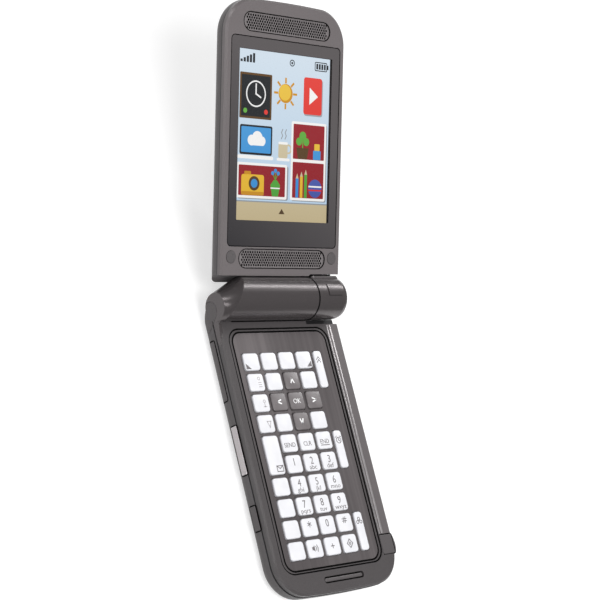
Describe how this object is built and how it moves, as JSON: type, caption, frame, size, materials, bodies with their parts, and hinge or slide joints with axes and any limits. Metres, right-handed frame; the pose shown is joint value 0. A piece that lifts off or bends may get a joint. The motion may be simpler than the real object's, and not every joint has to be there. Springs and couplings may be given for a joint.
{
  "type": "flip phone",
  "caption": "Flip phone with a full keypad whose lid opens lengthways on a barrel hinge and sideways on a swivel pin.",
  "frame": {"origin": "on the flat back of the base, on the phone's middle line, 51.7 mm behind the chin", "axes": "+Z out of the back's inside towards the keypad, +Y from the chin to the hinge, +X to the right across the keys"},
  "size_m": [0.0542, 0.1842, 0.0467],
  "materials": {
    "housing": "soft-touch painted polycarbonate, dark grey",
    "frame": "metallic paint on moulded plastic, satin grey",
    "lid": "metallic paint on moulded plastic, satin grey",
    "rail": "satin grey painted magnesium rail",
    "trim": "dark grey moulded plastic",
    "keypad_plate": "brushed grey aluminium sheet",
    "rubber": "dark silicone rubber",
    "board": "green solder mask on laminate",
    "battery": "black wrapped cell",
    "steel": "ground steel",
    "lens": "clear acrylic, printed dark grey on its back around the screen",
    "display": "display module",
    "grille": "punched sheet, painted grey",
    "window": "black glossy window",
    "cover": "grey soft plastic cover",
    "silver": "silver painted plastic",
    "keys": "white clear-coated key caps",
    "nav_keys": "grey clear-coated key caps"
  },
  "bodies": {
    "base": {"base_housing": "housing", "base_frame": "frame", "keypad_plate": "keypad_plate", "key_mat": "rubber", "main_board": "board", "battery": "battery", "battery_cover": "housing", "right_rail": "rail", "rail_cap": "trim", "microphone_port": "trim", "hinge_barrel": "frame", "hinge_pin": "steel"},
    "knuckle": {"hinge_knuckle": "frame", "knuckle_pad": "trim", "swivel_pin": "steel"},
    "lid": {"lid_front": "lid", "lid_back": "housing", "display_lens": "lens", "display_panel": "display", "speaker_grilles": "grille", "speakers": "trim", "screw_covers": "rubber", "outer_window": "window"},
    "soft_key_left": {"soft_key_left": "keys"},
    "soft_key_right": {"soft_key_right": "keys"},
    "key_mode": {"key_mode": "keys"},
    "key_voice": {"key_voice": "keys"},
    "key_speaker": {"key_speaker": "keys"},
    "nav_up": {"nav_up": "nav_keys"},
    "nav_left": {"nav_left": "nav_keys"},
    "nav_ok": {"nav_ok": "nav_keys"},
    "nav_right": {"nav_right": "nav_keys"},
    "nav_down": {"nav_down": "nav_keys"},
    "key_send": {"key_send": "keys"},
    "key_clear": {"key_clear": "keys"},
    "key_end": {"key_end": "keys"},
    "key_star": {"key_star": "keys"},
    "key_0": {"key_0": "keys"},
    "key_hash": {"key_hash": "keys"},
    "key_tone": {"key_tone": "keys"},
    "key_plus": {"key_plus": "keys"},
    "key_at": {"key_at": "keys"},
    "key_1": {"key_1": "keys"},
    "key_2": {"key_2": "keys"},
    "key_3": {"key_3": "keys"},
    "key_4": {"key_4": "keys"},
    "key_5": {"key_5": "keys"},
    "key_6": {"key_6": "keys"},
    "key_7": {"key_7": "keys"},
    "key_8": {"key_8": "keys"},
    "key_9": {"key_9": "keys"},
    "key_message": {"key_message": "keys"},
    "key_link": {"key_link": "keys"},
    "key_clock": {"key_clock": "keys"},
    "key_share": {"key_share": "keys"},
    "blank_keys": {"blank_keys": "keys"},
    "side_button": {"side_button": "housing"},
    "volume_rocker": {"volume_rocker": "silver"},
    "port_cover": {"port_cover": "cover"},
    "jack_cover": {"jack_cover": "cover"}
  },
  "joints": [
    {"name": "portrait_flip", "type": "hinge", "parent": "base", "child": "knuckle", "pos_m": [0, 0.0438, 0.01], "axis": [1, 0, 0], "range_deg": [0, 157.9]},
    {"name": "landscape_flip", "type": "hinge", "parent": "knuckle", "child": "lid", "pos_m": [0.0229, 0.04435, 0.00866], "axis": [0, -0.9265, -0.3762], "range_deg": [0, 155]},
    {"name": "soft_key_left_press", "type": "slide", "parent": "base", "child": "soft_key_left", "axis": [0, 0, -1], "range_m": [0, 0.0003], "stiffness_N_per_m": 600, "springref_m": -0.0003},
    {"name": "soft_key_right_press", "type": "slide", "parent": "base", "child": "soft_key_right", "axis": [0, 0, -1], "range_m": [0, 0.0003], "stiffness_N_per_m": 600, "springref_m": -0.0003},
    {"name": "key_mode_press", "type": "slide", "parent": "base", "child": "key_mode", "axis": [0, 0, -1], "range_m": [0, 0.0003], "stiffness_N_per_m": 600, "springref_m": -0.0003},
    {"name": "key_voice_press", "type": "slide", "parent": "base", "child": "key_voice", "axis": [0, 0, -1], "range_m": [0, 0.0003], "stiffness_N_per_m": 600, "springref_m": -0.0003},
    {"name": "key_speaker_press", "type": "slide", "parent": "base", "child": "key_speaker", "axis": [0, 0, -1], "range_m": [0, 0.0003], "stiffness_N_per_m": 600, "springref_m": -0.0003},
    {"name": "nav_up_press", "type": "slide", "parent": "base", "child": "nav_up", "axis": [0, 0, -1], "range_m": [0, 0.0003], "stiffness_N_per_m": 600, "springref_m": -0.0003},
    {"name": "nav_left_press", "type": "slide", "parent": "base", "child": "nav_left", "axis": [0, 0, -1], "range_m": [0, 0.0003], "stiffness_N_per_m": 600, "springref_m": -0.0003},
    {"name": "nav_ok_press", "type": "slide", "parent": "base", "child": "nav_ok", "axis": [0, 0, -1], "range_m": [0, 0.0003], "stiffness_N_per_m": 600, "springref_m": -0.0003},
    {"name": "nav_right_press", "type": "slide", "parent": "base", "child": "nav_right", "axis": [0, 0, -1], "range_m": [0, 0.0003], "stiffness_N_per_m": 600, "springref_m": -0.0003},
    {"name": "nav_down_press", "type": "slide", "parent": "base", "child": "nav_down", "axis": [0, 0, -1], "range_m": [0, 0.0003], "stiffness_N_per_m": 600, "springref_m": -0.0003},
    {"name": "key_send_press", "type": "slide", "parent": "base", "child": "key_send", "axis": [0, 0, -1], "range_m": [0, 0.0003], "stiffness_N_per_m": 600, "springref_m": -0.0003},
    {"name": "key_clear_press", "type": "slide", "parent": "base", "child": "key_clear", "axis": [0, 0, -1], "range_m": [0, 0.0003], "stiffness_N_per_m": 600, "springref_m": -0.0003},
    {"name": "key_end_press", "type": "slide", "parent": "base", "child": "key_end", "axis": [0, 0, -1], "range_m": [0, 0.0003], "stiffness_N_per_m": 600, "springref_m": -0.0003},
    {"name": "key_star_press", "type": "slide", "parent": "base", "child": "key_star", "axis": [0, 0, -1], "range_m": [0, 0.0003], "stiffness_N_per_m": 600, "springref_m": -0.0003},
    {"name": "key_0_press", "type": "slide", "parent": "base", "child": "key_0", "axis": [0, 0, -1], "range_m": [0, 0.0003], "stiffness_N_per_m": 600, "springref_m": -0.0003},
    {"name": "key_hash_press", "type": "slide", "parent": "base", "child": "key_hash", "axis": [0, 0, -1], "range_m": [0, 0.0003], "stiffness_N_per_m": 600, "springref_m": -0.0003},
    {"name": "key_tone_press", "type": "slide", "parent": "base", "child": "key_tone", "axis": [0, 0, -1], "range_m": [0, 0.0003], "stiffness_N_per_m": 600, "springref_m": -0.0003},
    {"name": "key_plus_press", "type": "slide", "parent": "base", "child": "key_plus", "axis": [0, 0, -1], "range_m": [0, 0.0003], "stiffness_N_per_m": 600, "springref_m": -0.0003},
    {"name": "key_at_press", "type": "slide", "parent": "base", "child": "key_at", "axis": [0, 0, -1], "range_m": [0, 0.0003], "stiffness_N_per_m": 600, "springref_m": -0.0003},
    {"name": "key_1_press", "type": "slide", "parent": "base", "child": "key_1", "axis": [0, 0, -1], "range_m": [0, 0.0003], "stiffness_N_per_m": 600, "springref_m": -0.0003},
    {"name": "key_2_press", "type": "slide", "parent": "base", "child": "key_2", "axis": [0, 0, -1], "range_m": [0, 0.0003], "stiffness_N_per_m": 600, "springref_m": -0.0003},
    {"name": "key_3_press", "type": "slide", "parent": "base", "child": "key_3", "axis": [0, 0, -1], "range_m": [0, 0.0003], "stiffness_N_per_m": 600, "springref_m": -0.0003},
    {"name": "key_4_press", "type": "slide", "parent": "base", "child": "key_4", "axis": [0, 0, -1], "range_m": [0, 0.0003], "stiffness_N_per_m": 600, "springref_m": -0.0003},
    {"name": "key_5_press", "type": "slide", "parent": "base", "child": "key_5", "axis": [0, 0, -1], "range_m": [0, 0.0003], "stiffness_N_per_m": 600, "springref_m": -0.0003},
    {"name": "key_6_press", "type": "slide", "parent": "base", "child": "key_6", "axis": [0, 0, -1], "range_m": [0, 0.0003], "stiffness_N_per_m": 600, "springref_m": -0.0003},
    {"name": "key_7_press", "type": "slide", "parent": "base", "child": "key_7", "axis": [0, 0, -1], "range_m": [0, 0.0003], "stiffness_N_per_m": 600, "springref_m": -0.0003},
    {"name": "key_8_press", "type": "slide", "parent": "base", "child": "key_8", "axis": [0, 0, -1], "range_m": [0, 0.0003], "stiffness_N_per_m": 600, "springref_m": -0.0003},
    {"name": "key_9_press", "type": "slide", "parent": "base", "child": "key_9", "axis": [0, 0, -1], "range_m": [0, 0.0003], "stiffness_N_per_m": 600, "springref_m": -0.0003},
    {"name": "key_message_press", "type": "slide", "parent": "base", "child": "key_message", "axis": [0, 0, -1], "range_m": [0, 0.0003], "stiffness_N_per_m": 600, "springref_m": -0.0003},
    {"name": "key_link_press", "type": "slide", "parent": "base", "child": "key_link", "axis": [0, 0, -1], "range_m": [0, 0.0003], "stiffness_N_per_m": 600, "springref_m": -0.0003},
    {"name": "key_clock_press", "type": "slide", "parent": "base", "child": "key_clock", "axis": [0, 0, -1], "range_m": [0, 0.0003], "stiffness_N_per_m": 600, "springref_m": -0.0003},
    {"name": "key_share_press", "type": "slide", "parent": "base", "child": "key_share", "axis": [0, 0, -1], "range_m": [0, 0.0003], "stiffness_N_per_m": 600, "springref_m": -0.0003},
    {"name": "blank_keys_press", "type": "slide", "parent": "base", "child": "blank_keys", "axis": [0, 0, -1], "range_m": [0, 0.0003], "stiffness_N_per_m": 600, "springref_m": -0.0003},
    {"name": "side_button_press", "type": "slide", "parent": "base", "child": "side_button", "axis": [1, 0, 0], "range_m": [0, 0.0003], "stiffness_N_per_m": 600, "springref_m": -0.0003},
    {"name": "volume_rock", "type": "hinge", "parent": "base", "child": "volume_rocker", "pos_m": [-0.0251, -0.0037, 0.00395], "axis": [0, 0, 1], "range_deg": [-2, 2], "stiffness_Nm_per_rad": 0.05},
    {"name": "port_cover_swing", "type": "hinge", "parent": "base", "child": "port_cover", "pos_m": [-0.0263, 0.0125, 0.0026], "axis": [0, 0, 1], "range_deg": [0, 90]},
    {"name": "jack_cover_swing", "type": "hinge", "parent": "base", "child": "jack_cover", "pos_m": [-0.0263, 0.03485, 0.00247], "axis": [0, -0.4535, 0.8913], "range_deg": [0, 85]}
  ]
}
